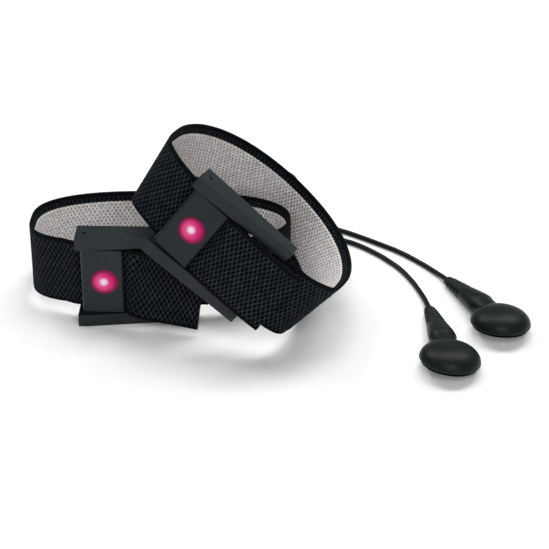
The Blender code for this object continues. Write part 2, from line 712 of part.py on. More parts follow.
def make_lead(letter, lead, cap_end, cap_direction, boot_end, boot_direction):
    """The lead from the wrist cap to its coil, the coil, and the stretch on to the snap head."""
    coil = coil_points(lead["coil_centre"])
    gap = Vector((0, JOINT_GAP, 0))
    start = [cap_end + cap_direction * JOINT_GAP, cap_end + cap_direction * 0.0035,
             *lead["start"], coil[0] - gap - Vector((0, CORD_DIAMETER, 0)), coil[0] - gap]
    start = smooth_points(start, 2.0 * CORD_DIAMETER)
    end = [coil[-1] - gap, coil[-1] - gap - Vector((0, CORD_DIAMETER, 0)), *lead["end"],
           boot_end + boot_direction * 0.0026, boot_end + boot_direction * JOINT_GAP]
    end = smooth_points(end, 2.0 * CORD_DIAMETER)
    tube(f"lead_{letter}_start", start, CORD_RADIUS, SHEATH)
    tube(f"lead_{letter}_coil", coil, CORD_RADIUS, SHEATH, resolution=1)
    tube(f"lead_{letter}_end", end, CORD_RADIUS, SHEATH)
    make_tie(f"coil_tie_{letter}", lead["coil_centre"])
    whole = length_of(start) + length_of(coil) + length_of(end) + 2 * JOINT_GAP
    print(f"lead {letter}: {whole:.4f} m, coil {length_of(coil):.4f} m,"
          f" least gap in the coil {least_gap(coil) * 1000:.2f} mm")


# ---------------------------------------------------------------- assembly
def make_strap(letter, strap):
    """One strap: band, lining, buckle, sewn end and the snap on its back."""
    turn = Euler([math.radians(angle) for angle in strap["turn_deg"]], "XYZ")
    strap_frame = empty(f"strap_{letter}_frame", strap["place"], turn)
    ring = strap["ring"]
    ring_line = smooth_points(ring_path(ring), 0.0026)
    wrap_line = wrap_path(ring_line)
    climb = [(LIP_X - 0.0062, -0.0008, 0.0), (LIP_X - 0.0028, -0.0018, 0.0),
             (LIP_X - 0.0005, LEVER_THICK - LEVER_OUT + 0.0008, 0.0), (LIP_X + 0.0007, -0.0041, 0.0)]
    tail = [(LIP_X + x, y, z) for x, y, z, lean in strap["tail"]]
    tail_line = smooth_points([ring_line[-1], *climb, *tail], 0.0016)[1:]
    ring_leans = [lean_at(ring, point) for point in ring_line]
    tail_leans = [tail_lean_at(strap["tail"], point) for point in tail_line]
    band = ribbon(f"band_{letter}", [*wrap_line, *ring_line, *tail_line],
                  [*[0.0] * len(wrap_line), *ring_leans, *tail_leans],
                  BAND_WIDTH, 0.0, BAND_THICK, WEBBING, strap_frame)
    stud_matrix = stud_frame_matrix(ring, ring_line, strap["stud_angle_deg"])
    band.parent = None
    band = pierce_band(band, stud_matrix)
    place(band, WEBBING, strap_frame)
    ribbon(f"lining_{letter}", ring_line[2:], ring_leans[2:], LINING_WIDTH, BAND_THICK + LINING_GAP,
           LINING_THICK, LINING, strap_frame)
    whole = length_of([*wrap_line, *ring_line, *tail_line])
    print(f"strap {letter}: ring {length_of(ring_line):.4f} m round, band {whole:.4f} m long")
    make_frame(f"buckle_frame_{letter}", strap_frame)
    make_lever(f"cam_lever_{letter}", strap_frame)
    make_pin(f"pivot_pin_{letter}", strap_frame)
    make_tack(f"bar_tack_{letter}", ring_line, strap_frame)

    snap = empty(f"snap_{letter}_frame", (0, 0, 0), (0, 0, 0), strap_frame)
    snap.matrix_local = stud_matrix
    make_stud(f"stud_{letter}", snap)
    make_rivet(f"rivet_{letter}", snap)
    cap_frame = empty(f"cap_{letter}_frame", (0, 0, SEAT_GAP), (0, 0, math.radians(strap["cap_turn_deg"])), snap)
    boot_height = 0.0038
    make_moulding(f"wrist_cap_{letter}", cap_frame, CAP_RADIUS, CAP_HEIGHT, CAP_BOOT_END,
                  root_radius=0.0036, boot_height=boot_height, flatten=0.9, recess=0.0061)
    make_socket(f"wrist_socket_{letter}", cap_frame, 0.0009, SOCKET_HEIGHT)
    resistor = cylinder(f"resistor_{letter}", RESISTOR_R, RESISTOR_LENGTH, (0.0, 0.0, 0.0049), "X", 12)
    round_edges(resistor, 0.0003)
    place(resistor, BEAD, cap_frame)
    bpy.context.view_layer.update()
    cap_world = cap_frame.matrix_world
    return cap_world @ Vector((CAP_BOOT_END, 0.0, boot_height)), (cap_world.to_3x3() @ Vector((1, 0, 0)))


def make_head(letter, lead):
    """The lead's far end: a domed snap head lying on its socket."""
    turn = Euler([math.radians(angle) for angle in lead["head_turn_deg"]], "XYZ")
    frame = empty(f"head_{letter}_frame", lead["head_place"], turn)
    boot_height = 0.0030
    make_moulding(f"snap_head_{letter}", frame, HEAD_RADIUS, HEAD_HEIGHT, HEAD_BOOT_END,
                  root_radius=0.0047, boot_height=boot_height, flatten=0.75, recess=0.0013)
    make_socket(f"snap_socket_{letter}", frame, -HEAD_SOCKET_DROP, SOCKET_HEIGHT)
    bpy.context.view_layer.update()
    world = frame.matrix_world
    return world @ Vector((HEAD_BOOT_END, 0.0, boot_height)), (world.to_3x3() @ Vector((1, 0, 0)))


for letter, strap in STRAPS.items():
    cap_end, cap_direction = make_strap(letter, strap)
    boot_end, boot_direction = make_head(letter, LEADS[letter])
    print(f"lead {letter} leaves its wrist cap at", [round(v * 1000, 1) for v in cap_end],
          "and enters its boot at", [round(v * 1000, 1) for v in boot_end])
    make_lead(letter, LEADS[letter], cap_end, cap_direction, boot_end, boot_direction)
for obj in parts.objects:
    if obj.parent is None:
        obj.location -= ORIGIN
bpy.context.view_layer.update()
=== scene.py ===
# %% [markdown]
# # Two elastic earthing wrist straps
#
# Someone who handles bare circuit boards wears one of these to stay at earth potential. Each strap
# is a loop of black elastic webbing with a pale silver-fibre lining that touches the skin, a
# moulded buckle whose cam lever pinches the webbing, and a thin lead that ends in a snap head.
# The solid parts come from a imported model. This lesson keeps their places and gives every
# surface its shape, weave and finish.

# %% Load the fixed frame
import math

import bmesh
import bpy
from mathutils import Euler, Matrix, Vector


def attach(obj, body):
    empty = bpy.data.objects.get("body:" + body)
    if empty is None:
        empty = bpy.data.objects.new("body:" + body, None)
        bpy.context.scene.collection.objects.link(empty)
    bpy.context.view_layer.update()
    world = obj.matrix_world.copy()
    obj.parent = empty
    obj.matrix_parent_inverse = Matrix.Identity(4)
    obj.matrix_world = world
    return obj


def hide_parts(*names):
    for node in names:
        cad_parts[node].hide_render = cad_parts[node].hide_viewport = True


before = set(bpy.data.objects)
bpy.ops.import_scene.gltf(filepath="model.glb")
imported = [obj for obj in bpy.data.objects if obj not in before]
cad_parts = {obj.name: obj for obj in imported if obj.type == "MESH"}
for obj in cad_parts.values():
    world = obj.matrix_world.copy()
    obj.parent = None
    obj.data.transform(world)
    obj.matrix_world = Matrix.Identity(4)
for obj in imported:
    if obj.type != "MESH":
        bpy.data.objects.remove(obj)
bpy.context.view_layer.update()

# %% [markdown]
# ## Camera
#
# The straps are seen from the front, 31 degrees above the floor, from well back with a long lens,
# so that upright edges hardly converge. The camera comes first because the leads' spare length
# lies where it can't see it.

# %% Camera
MM = 0.001
CAMERA_ELEVATION = math.radians(31.0)
CAMERA_DISTANCE = 0.700
PICTURE_WIDTH = 0.1949           # width of what it sees at that distance
SENSOR = 36.0
aim = Vector((29.18, 9.02, 3.955)) * MM
sight = Vector((0.0, math.cos(CAMERA_ELEVATION), -math.sin(CAMERA_ELEVATION)))

camera_data = bpy.data.cameras.new("camera")
camera_data.sensor_width = SENSOR
camera_data.lens = SENSOR * CAMERA_DISTANCE / PICTURE_WIDTH
camera_data.clip_start = 0.01
camera = bpy.data.objects.new("camera", camera_data)
camera.location = aim - sight * CAMERA_DISTANCE
camera.rotation_euler = Euler((math.pi / 2 - CAMERA_ELEVATION, 0.0, 0.0))
bpy.context.scene.collection.objects.link(camera)
bpy.context.scene.camera = camera
bpy.context.scene.view_settings.view_transform = "Standard"
print("lens", round(camera_data.lens, 1), "mm")

# %% [markdown]
# ## Shader maths as plain Python
#
# A weave is a formula: two slanted waves over the webbing, and the higher one shows. Built out of
# Math nodes by hand it is hard to read, so a small class wraps a socket and lets Python's own
# operators add those nodes. Every other node is added by one method that takes its type, its
# settings and its inputs.

# %% Sockets that add up
class Value:
    """A number, colour or shader that varies over a surface."""

    def __init__(self, finish, socket):
        self.finish = finish
        self.socket = socket

    def maths(self, operation, first, second=None):
        inputs = [first] if second is None else [first, second]
        return self.finish.node("ShaderNodeMath", {"operation": operation}, inputs)

    def __add__(self, other):
        return self.maths("ADD", self, other)

    def __radd__(self, other):
        return self.maths("ADD", other, self)

    def __sub__(self, other):
        return self.maths("SUBTRACT", self, other)

    def __rsub__(self, other):
        return self.maths("SUBTRACT", other, self)

    def __mul__(self, other):
        return self.maths("MULTIPLY", self, other)

    def __rmul__(self, other):
        return self.maths("MULTIPLY", other, self)

    def __pow__(self, other):
        return self.maths("POWER", self, other)

    def __rpow__(self, other):
        return self.maths("POWER", other, self)

    def cosine(self):
        return self.maths("COSINE", self)

    def size(self):
        return self.maths("ABSOLUTE", self)

    def at_least(self, other):
        return self.maths("MAXIMUM", self, other)

    def step(self, low, high):
        """0 below low, 1 above high, and a smooth rise between."""
        return self.finish.node("ShaderNodeMapRange", {"interpolation_type": "SMOOTHSTEP"},
                                {"Value": self, "From Min": low, "From Max": high})


# %% A material and its nodes
class Finish:
    """A Principled material whose nodes are added one by one."""

    def __init__(self, name, **plain):
        self.material = bpy.data.materials.new(name)
        self.material.use_nodes = True
        self.tree = self.material.node_tree
        self.shader = self.tree.nodes["Principled BSDF"]
        for socket, value in plain.items():
            self.shader.inputs[socket.replace("_", " ")].default_value = value

    def node(self, kind, settings=None, inputs=None, output=0):
        made = self.tree.nodes.new(kind)
        for name, value in (settings or {}).items():
            setattr(made, name, value)
        pairs = inputs.items() if isinstance(inputs, dict) else enumerate(inputs or [])
        for key, value in pairs:
            self.feed(made.inputs[key], value)
        return Value(self, made.outputs[output])

    def feed(self, socket, value):
        if isinstance(value, Value):
            self.tree.links.new(value.socket, socket)
        else:
            socket.default_value = value

    def blend(self, share, first, second):
        """The first colour where share is 0, the second where it is 1."""
        made = self.tree.nodes.new("ShaderNodeMix")
        made.data_type = "RGBA"
        for name, value in (("Factor_Float", share), ("A_Color", first), ("B_Color", second)):
            socket = next(s for s in made.inputs if s.identifier == name)
            self.feed(socket, value)
        return Value(self, next(s for s in made.outputs if s.identifier == "Result_Color"))

    def place(self):
        """Object coordinates, in metres, which stay fixed to the piece."""
        return self.node("ShaderNodeTexCoord", output="Object")

    def noise(self, scale, detail=3.0, roughness=0.5):
        return self.node("ShaderNodeTexNoise", inputs={"Vector": self.place(), "Scale": scale,
                                                       "Detail": detail, "Roughness": roughness})

    def flat_place(self, uv_map):
        """The two numbers that a UV map gives a point of the surface."""
        uv = self.node("ShaderNodeUVMap", {"uv_map": uv_map})
        split = self.node("ShaderNodeSeparateXYZ", inputs=[uv])
        return split, Value(self, split.socket.node.outputs[1])

    def colour(self, value):
        self.feed(self.shader.inputs["Base Color"], value)

    def roughness(self, value):
        self.feed(self.shader.inputs["Roughness"], value)

    def bump(self, height, distance, strength=1.0):
        inputs = {"Height": height, "Distance": distance, "Strength": strength}
        self.feed(self.shader.inputs["Normal"], self.node("ShaderNodeBump", inputs=inputs))


def rgb(red, green, blue):
    return (red, green, blue, 1.0)


# %% [markdown]
# ## Webbing finish
#
# The elastic is knitted: two families of slanted yarns cross in a net, with a bump at each crossing
# and a pit in each of its diamonds. The mesh made further on has that net as real relief. The finish
# adds what is too fine for a mesh: painted shade that darkens the pits, and the separate filaments.

# %% Black webbing
NET_ALONG, NET_ACROSS = 0.85, 1.42    # mm from a crossing to the next pit, along and across
CROSSING_RISE = 0.35                  # how much higher a crossing is, with a single yarn's wave as 1
FILAMENTS = 7                         # in each repeat of the net
BAND_WIDTH = 0.0250
NET_END, EDGE_START = 10.9, 11.5      # mm from the band's middle: the net fades into a plain edge


def net(along, across, pitch_along, pitch_across):
    """Height of the net: 1.35 on a crossing and -0.65 in a pit."""
    run, rise = along * (math.pi / pitch_along), across * (math.pi / pitch_across)
    first, second = (run + rise).cosine(), (run - rise).cosine()
    return first.at_least(second) + first * second * CROSSING_RISE


webbing = Finish("black_webbing", Roughness=0.72, Specular_IOR_Level=0.035)
along, across = webbing.flat_place("webbing_mm")
high = net(along, across, NET_ALONG, NET_ACROSS).step(-0.30, 1.25)
filaments = (along * (math.pi / NET_ALONG * FILAMENTS)).cosine() * 0.5 + 0.5
worn = webbing.noise(420.0).step(0.35, 0.75)
edge = (across - BAND_WIDTH / MM / 2).size().step(NET_END, EDGE_START)
yarn = webbing.blend(worn, rgb(0.0170, 0.0228, 0.0280), rgb(0.0340, 0.0420, 0.0490))
# Painted shade: the net's pits are coloured near-black, and the crests keep the yarn's colour.
woven = webbing.blend(high, rgb(0.0002, 0.0003, 0.0006), yarn)
webbing.colour(webbing.blend(edge, woven, rgb(0.0030, 0.0038, 0.0050)))
webbing.roughness(0.58 + filaments * 0.14)
webbing.bump(high * (1.0 - edge) + filaments * 0.14 + webbing.noise(2600.0) * 0.10, 0.00022, 0.9)
print("webbing net repeats every", 2 * NET_ALONG, "by", 2 * NET_ACROSS, "mm")

# %% [markdown]
# ## Lining finish
#
# The lining is knitted with silver fibre, pale and dull, and its stitches leave small pits in the
# same slanted lattice as the outer side; painted shade darkens them. Fine random threads break the
# pattern up.

# %% Silver-fibre lining
KNIT_ALONG, KNIT_ACROSS = 0.78, 1.28    # mm from a stitch to the next pit, along and across

lining_finish = Finish("silver_fibre_lining", Roughness=0.66, Specular_IOR_Level=0.35)
along, across = lining_finish.flat_place("webbing_mm")
pit = (0.0 - net(along, across, KNIT_ALONG, KNIT_ACROSS)).step(-0.55, 0.60)
thread = lining_finish.noise(900.0, 4.0, 0.65).step(0.34, 0.66)
patch = lining_finish.noise(160.0, 2.0).step(0.3, 0.7)
pale = lining_finish.blend(thread, rgb(0.60, 0.565, 0.555), rgb(0.93, 0.895, 0.88))
# Painted shade: the stitch pits are coloured grey, darker in some patches than in others.
pit_painted_shade = lining_finish.blend(patch, rgb(0.17, 0.16, 0.155), rgb(0.40, 0.38, 0.37))
lining_finish.colour(lining_finish.blend(pit, pale, pit_painted_shade))
lining_finish.bump(1.0 - pit + thread * 0.4, 0.00016, 0.9)
print("lining net repeats every", 2 * KNIT_ALONG, "by", 2 * KNIT_ACROSS, "mm")

# %% [markdown]
# ## Moulded finishes
#
# The buckle is satin black plastic from a spark-eroded mould, so its gloss is broken by a very
# fine grain. The snap ends are softer and duller. Both vary a little in shade, as handled plastic
# does. Numbers that are the same all over stay on the shader's own sockets.

# %% Plastic, soft moulding and sheath
def moulded(name, dark, light, roughness, grain_scale, grain_depth, specular):
    """A finish whose shade clouds from dark to light under a fine grain."""
    finish = Finish(name, Specular_IOR_Level=specular)
    cloud = finish.noise(70.0, 3.0).step(0.3, 0.7)
    grain = finish.noise(grain_scale, 2.0, 0.6)
    finish.colour(finish.blend(cloud, dark, light))
    finish.roughness(roughness - 0.05 + grain * 0.12)
    finish.bump(grain, grain_depth, 0.5)
    return finish


plastic = moulded("satin_black_plastic", rgb(0.0105, 0.0155, 0.0178), rgb(0.0135, 0.0190, 0.0215),
                  roughness=0.31, grain_scale=5200.0, grain_depth=0.00002, specular=0.24)
soft_moulding = moulded("soft_black_moulding", rgb(0.0042, 0.0070, 0.0074), rgb(0.0062, 0.0094, 0.0100),
                        roughness=0.42, grain_scale=3800.0, grain_depth=0.00003, specular=0.15)
sheath = moulded("lead_sheath", rgb(0.0022, 0.0036, 0.0040), rgb(0.0038, 0.0054, 0.0058),
                 roughness=0.40, grain_scale=3000.0, grain_depth=0.00002, specular=0.15)
print("moulded finishes:", plastic.material.name, soft_moulding.material.name, sheath.material.name)

# %% Metal, thread and bead
steel = Finish("nickelled_steel", Metallic=1.0)
brushed = steel.noise(1500.0, 3.0)
steel.colour(steel.blend(brushed.step(0.3, 0.7), rgb(0.50, 0.49, 0.47), rgb(0.62, 0.61, 0.59)))
steel.roughness(0.2 + brushed * 0.22)
steel.bump(brushed, 0.00001, 0.4)

thread_finish = Finish("black_thread", Roughness=0.7)
ply = thread_finish.node("ShaderNodeTexWave", {"bands_direction": "DIAGONAL"},
                         {"Vector": thread_finish.place(), "Scale": 900.0})
thread_finish.colour(thread_finish.blend(ply, rgb(0.006, 0.006, 0.007), rgb(0.030, 0.031, 0.033)))
thread_finish.bump(ply, 0.00004)

bead = Finish("lacquered_bead", Roughness=0.35)
bead.colour(bead.blend(bead.noise(300.0).step(0.4, 0.6), rgb(0.42, 0.30, 0.17), rgb(0.48, 0.36, 0.22)))
print("small finishes:", steel.material.name, thread_finish.material.name, bead.material.name)

# %% [markdown]
# ## Badge finish
#
# A plain printed badge sits on each lever: magenta, darker at its rim, with a pale middle. The
# colours follow a UV map on the mesh, in badge radii from its middle, so they hold at any pose.

# %% Badge
badge_finish = Finish("printed_badge", Roughness=0.45, Specular_IOR_Level=0.2)
right, up = badge_finish.flat_place("badge")
reach = (right * right + up * up) ** 0.5
sheen = (right * -0.60 + up * -0.25 + 0.30).step(-0.35, 0.80)
field = badge_finish.blend(sheen, rgb(0.66, 0.002, 0.15), rgb(0.86, 0.075, 0.29))
rim = badge_finish.blend(reach.step(0.50, 0.98), field, rgb(0.20, 0.0004, 0.045))
off_centre = right + 0.05
shine = 1.0 - ((off_centre * off_centre + up * up) ** 0.5).step(0.08, 0.44)
badge_finish.colour(badge_finish.blend(shine, rim, rgb(0.96, 0.80, 0.87)))
print("badge finish:", badge_finish.material.name)

# %% [markdown]
# ## The band's path
#
# The webbing starts in a sewn flap, turns round the buckle's cross bar, runs once round the wrist,
# passes under the cam and ends in a free tail over the buckle. Its path is the same one that the
# solid model follows: half superellipses for the loop, and a smooth curve through listed points for
# the tail. Sizes are repeated here in metres. A tail's points are (along, out, up, lean), and along
# counts from the lever's lip.

# %% Sizes shared with the solid model
BAND_THICK = 0.0012
LINING_WIDTH = 0.0182
LINING_THICK = 0.00035
LINING_GAP = 0.0003
HALF_LENGTH = 0.0196                     # of a buckle
PIVOT_X = -0.0166
BAR_X, BAR_Y, BAR_RADIUS = 0.0171, 0.0013, 0.0010
WRAP_GAP = 0.0003
FLAP_START, FLAP_LENGTH = 0.0035, 0.0080
LEVER_OUT, LEVER_THICK, LEVER_LENGTH = 0.0051, 0.0016, 0.0143
LIP_X = -0.0038                          # where the tail leaves the lever's lip
COARSE_STEP = 0.0026                     # of the solid model's band
ROOM = Vector((0.02918, 0.00902, 0.0))   # from the room in which the straps were placed to this frame

# %% The two straps
STRAPS = {
    "a": {
        "place": (-0.0475, -0.0219, 0.0171), "turn_deg": (0.0, 0.0, -1.6),
        "ring": {"half_length": 0.0453, "centre_x": 0.0072, "depth": 0.0458, "widest_y": 0.0222,
                 "left_power": 3.4, "right_power": 2.2, "rear_power": 2.5,
                 "lean_sides": 0.0, "lean_rear": 0.0, "sink": 0.0046},
        "tail": [(0.0026, -0.0053, -0.0001, -0.05), (0.0068, -0.0063, -0.0008, -0.14),
                 (0.0128, -0.0071, -0.0013, -0.19), (0.0188, -0.0078, -0.0018, -0.22),
                 (0.0268, -0.0088, -0.0025, -0.30)],
        "stud_angle_deg": 76.0, "cap_turn_deg": 0.0,
    },
    "b": {
        "place": (-0.0181, -0.0363, 0.03658), "turn_deg": (-13.4, 34.8, -25.6),
        "ring": {"half_length": 0.0368, "centre_x": 0.0007, "depth": 0.0604, "widest_y": 0.0215,
                 "left_power": 4.0, "right_power": 4.0, "rear_power": 1.93,
                 "lean_sides": 0.14, "lean_rear": -0.26, "sink": 0.0},
        "tail": [(0.0026, -0.0053, 0.0001, 0.0), (0.0068, -0.0059, 0.0003, 0.0),
                 (0.0128, -0.0059, 0.0003, 0.0), (0.0198, -0.0054, 0.0002, 0.0),
                 (0.0258, -0.0046, 0.0, 0.0), (0.0313, -0.0037, 0.0, 0.0)],
        "stud_angle_deg": 70.0, "cap_turn_deg": -35.5,
    },
}


def placed(place, turn_deg):
    """A matrix that puts a strap or a head in this frame."""
    turn = Euler([math.radians(angle) for angle in turn_deg], "XYZ").to_matrix().to_4x4()
    return Matrix.Translation(Vector(place) + ROOM) @ turn


# %% A smooth curve through points
CURVE_POINTS = 20    # between two given points


def smooth_points(points, step):
    """Points at an even step along a centripetal Catmull-Rom curve."""
    points = [Vector(point) for point in points]
    padded = [2 * points[0] - points[1], *points, 2 * points[-1] - points[-2]]
    dense = []
    for p0, p1, p2, p3 in zip(padded, padded[1:], padded[2:], padded[3:]):
        k1 = math.sqrt((p1 - p0).length)
        k2 = k1 + math.sqrt((p2 - p1).length)
        k3 = k2 + math.sqrt((p3 - p2).length)
        for index in range(CURVE_POINTS):
            k = k1 + (k2 - k1) * index / CURVE_POINTS
            a1 = p0.lerp(p1, k / k1)
            a2 = p1.lerp(p2, (k - k1) / (k2 - k1))
            a3 = p2.lerp(p3, (k - k2) / (k3 - k2))
            b1 = a1.lerp(a2, k / k2)
            b2 = a2.lerp(a3, (k - k1) / (k3 - k1))
            dense.append(b1.lerp(b2, (k - k1) / (k2 - k1)))
    dense.append(points[-1])
    return even_points(dense, step)


def even_points(dense, step):
    """The same line with its points spread evenly, about a step apart."""
    reach = [0.0]
    for first, second in zip(dense, dense[1:]):
        reach.append(reach[-1] + (second - first).length)
    count = max(2, round(reach[-1] / step))
    result, index = [], 0
    for number in range(count + 1):
        target = reach[-1] * number / count
        while index < len(reach) - 2 and reach[index + 1] < target:
            index += 1
        span = reach[index + 1] - reach[index]
        share = 0.0 if span == 0 else (target - reach[index]) / span
        result.append(dense[index].lerp(dense[index + 1], share))
    return result


# %% Round the wrist
def ring_point(ring, angle):
    """A point of the loop: superellipses to the left and right in front, and behind its widest line."""
    cosine, sine = math.cos(angle), math.sin(angle)
    front_power = ring["left_power"] if cosine < 0 else ring["right_power"]
    power = ring["rear_power"] if sine >= 0 else front_power
    depth = ring["depth"] - ring["widest_y"] if sine >= 0 else ring["widest_y"]
    x = math.copysign(abs(cosine) ** (2 / power), cosine)
    y = ring["widest_y"] + math.copysign(depth * abs(sine) ** (2 / power), sine)
    sunk = ring["sink"] * max(y, 0.0) / ring["depth"]
    return Vector((ring["centre_x"] + ring["half_length"] * x, y, -sunk))


def ring_path(ring):
    """The band's outer face from the cross bar round the wrist to the cam."""
    bar_back = BAR_Y + BAR_RADIUS + WRAP_GAP
    points = [Vector((BAR_X, bar_back, 0.0)), Vector((HALF_LENGTH + 0.0004, bar_back - 0.0003, 0.0))]
    for step in range(-56, 237, 4):
        point = ring_point(ring, math.radians(step))
        beyond_frame = point.x > HALF_LENGTH + 0.0045 or point.x < -HALF_LENGTH - 0.0035
        if point.y > 0.002 or beyond_frame:
            points.append(point)
    return points + [Vector((-HALF_LENGTH - 0.0005, 0.0, 0.0)), Vector((PIVOT_X + 0.0040, 0.0, 0.0))]


# %% Round the cross bar
def wrap_points(ring_line):
    """The sewn flap in front of the band, then the turn round the bar."""
    flap, reach = [], 0.0
    for before, here, after in zip([ring_line[0], *ring_line], ring_line, ring_line[1:]):
        if FLAP_START < reach < FLAP_LENGTH:
            run = after - before
            flap.append(here + Vector((run.y, -run.x, 0.0)).normalized() * WRAP_GAP)
        reach += (after - here).length
    points = flap[::-1]
    centre = Vector((BAR_X, BAR_Y, 0.0))
    for angle in range(-75, -271, -13):
        turn = math.radians(angle)
        points.append(centre + (BAR_RADIUS + WRAP_GAP) * Vector((math.cos(turn), math.sin(turn), 0.0)))
    return points


# %% How the band leans
def ring_lean(ring, point):
    """How far the upper edge leans outward, behind the buckle."""
    depth = min(max((point.y - 0.0030) / 0.007, 0.0), 1.0)
    side = min(abs(point.x - ring["centre_x"]) / ring["half_length"], 1.0)
    lean = ring["lean_rear"] + (ring["lean_sides"] - ring["lean_rear"]) * side * side
    return lean * depth * depth * (3 - 2 * depth)


def tail_lean(tail, point):
    """The tail's lean at a point, between the leans given along it."""
    reach = point.x - LIP_X
    if reach <= tail[0][0]:
        return tail[0][3] * max(0.0, 1.0 - (tail[0][0] - reach) / 0.004)
    for before, after in zip(tail, tail[1:]):
        if reach <= after[0]:
            return before[3] + (after[3] - before[3]) * (reach - before[0]) / (after[0] - before[0])
    return tail[-1][3]


def across_and_outward(points, index, lean):
    """Directions across the band and out of its face."""
    run = (points[min(index + 1, len(points) - 1)] - points[max(index - 1, 0)]).normalized()
    across = Vector((0, 0, 1)) + lean * Vector((run.y, -run.x, 0.0)).normalized()
    across = (across - run * across.dot(run)).normalized()
    return across, run.cross(across)


# %% Whole paths
def band_paths(strap, step):
    """The loop's line and the whole band's line, each with its leans."""
    ring, tail = strap["ring"], strap["tail"]
    coarse = smooth_points(ring_path(ring), COARSE_STEP)
    loop = smooth_points(ring_path(ring), step)
    wrap = smooth_points(wrap_points(coarse), step)[:-1]
    climb = [(LIP_X - 0.0062, -0.0008, 0.0), (LIP_X - 0.0028, -0.0018, 0.0),
             (LIP_X - 0.0005, LEVER_THICK - LEVER_OUT + 0.0008, 0.0), (LIP_X + 0.0007, -0.0041, 0.0)]
    free = smooth_points([coarse[-1], *climb, *[(LIP_X + x, y, z) for x, y, z, lean in tail]], step)[1:]
    loop_leans = [ring_lean(ring, point) for point in loop]
    leans = [0.0] * len(wrap) + loop_leans + [tail_lean(tail, point) for point in free]
    return (loop, loop_leans), ([*wrap, *loop, *free], leans)


NET_ROWS, NET_COLUMNS = 3, 4       # of the mesh, from a crossing of the net to the next pit
FINE_STEP = NET_ALONG * MM / NET_ROWS
for letter, strap in STRAPS.items():
    (loop, loop_leans), (whole, leans) = band_paths(strap, FINE_STEP)
    print(f"strap {letter}: loop {len(loop) * FINE_STEP:.3f} m, band {len(whole) * FINE_STEP:.3f} m")

# %% [markdown]
# ## Webbing as a mesh
#
# A section with rounded edges is carried along the path. Three rows and four columns reach from a
# crossing of the net to the next pit, so that the relief is real and shows at the outline. It is
# built in code and not from a primitive, because every row leans and turns with the path. A UV
# map in millimetres lets the finish line its pits up with the mesh's own.

# %% Sections
RELIEF = 0.00011                 # height of a yarn above the mean face
EDGE_ROUND = 0.00050
BACK_COLUMNS, LINING_COLUMNS = 14, 24


def band_section():
    """The webbing's section: (across, out, is_face) from edge to edge and back, in metres."""
    half, thick, corner = BAND_WIDTH / 2, BAND_THICK, EDGE_ROUND
    flat = BAND_WIDTH - 2 * corner
    columns = round(flat / (NET_ACROSS * MM / NET_COLUMNS))
    face = [(-half + corner + flat * n / columns, 0.0, True) for n in range(columns + 1)]
    right = [(half - corner + corner * math.sin(a), -corner + corner * math.cos(a), False)
             for a in (math.radians(d) for d in (30, 60, 90))]
    lower = [(x, -thick - y, False) for x, y, is_face in right[::-1]]
    back = [(half - corner - flat * n / BACK_COLUMNS, -thick, False) for n in range(BACK_COLUMNS + 1)]
    left = [(-x, y, False) for x, y, is_face in right[::-1]]
    lower_left = [(x, -thick - y, False) for x, y, is_face in left[::-1]]
    return [*face, *right, *lower, *back, *lower_left, *left]


def lining_section():
    """The lining's section, a thin strip with soft edges, behind the webbing."""
    half, front = LINING_WIDTH / 2, -BAND_THICK - LINING_GAP
    back, middle = front - LINING_THICK, front - LINING_THICK / 2
    pulled_in, bulge = 0.0001, 0.00008
    shares = [n / LINING_COLUMNS for n in range(LINING_COLUMNS + 1)]
    outer = [(-half + LINING_WIDTH * share, front, False) for share in shares]
    inner = [(half - pulled_in - (LINING_WIDTH - 2 * pulled_in) * share, back, False) for share in shares]
    return [*outer, (half + bulge, middle, False), *inner, (-half - bulge, middle, False)]


def net_relief(index, x):
    """The finish's net at a row and a place across, as a height in metres."""
    run, rise = math.pi * index / NET_ROWS, math.pi * (x + BAND_WIDTH / 2) / (NET_ACROSS * MM)
    first, second = math.cos(run + rise), math.cos(run - rise)
    return RELIEF * (max(first, second) + (first * second - 1.0) * CROSSING_RISE)


def swept(name, points, leans, section, matrix):
    """Carry a section along a path, with its net's relief and a UV map in millimetres."""
    mesh = bpy.data.meshes.new(name)
    bm = bmesh.new()
    uv_layer = bm.loops.layers.uv.new("webbing_mm")
    rows = []
    for index, lean in enumerate(leans):
        across, outward = across_and_outward(points, index, lean)
        row = []
        for x, out, woven in section:
            lift = net_relief(index, x) if woven else 0.0
            row.append(bm.verts.new(points[index] + across * x + outward * (out + lift)))
        rows.append(row)
    count = len(section)
    for index, (row, following) in enumerate(zip(rows, rows[1:])):
        for n in range(count):
            m = (n + 1) % count
            face = bm.faces.new((row[n], following[n], following[m], row[m]))
            face.smooth = True
            here, over = section[n][0], section[m][0]
            corners = ((index, here), (index + 1, here), (index + 1, over), (index, over))
            for loop, (along, x) in zip(face.loops, corners):
                loop[uv_layer].uv = (along * NET_ALONG / NET_ROWS, (x + BAND_WIDTH / 2) / MM)
    bm.faces.new(rows[0])
    bm.faces.new(rows[-1][::-1])
    bmesh.ops.recalc_face_normals(bm, faces=bm.faces)
    bm.transform(matrix)
    bm.to_mesh(mesh)
    bm.free()
    obj = bpy.data.objects.new(name, mesh)
    bpy.context.scene.collection.objects.link(obj)
    return obj


def dress(obj, finish, body, slot, *nodes):
    """Give a piece its finish and the body that it rides on, and hide the nodes that it stands for. The
    slot is not used.
    """
    obj.data.materials.clear()
    obj.data.materials.append(finish.material)
    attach(obj, body)
    if nodes:
        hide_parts(*nodes)


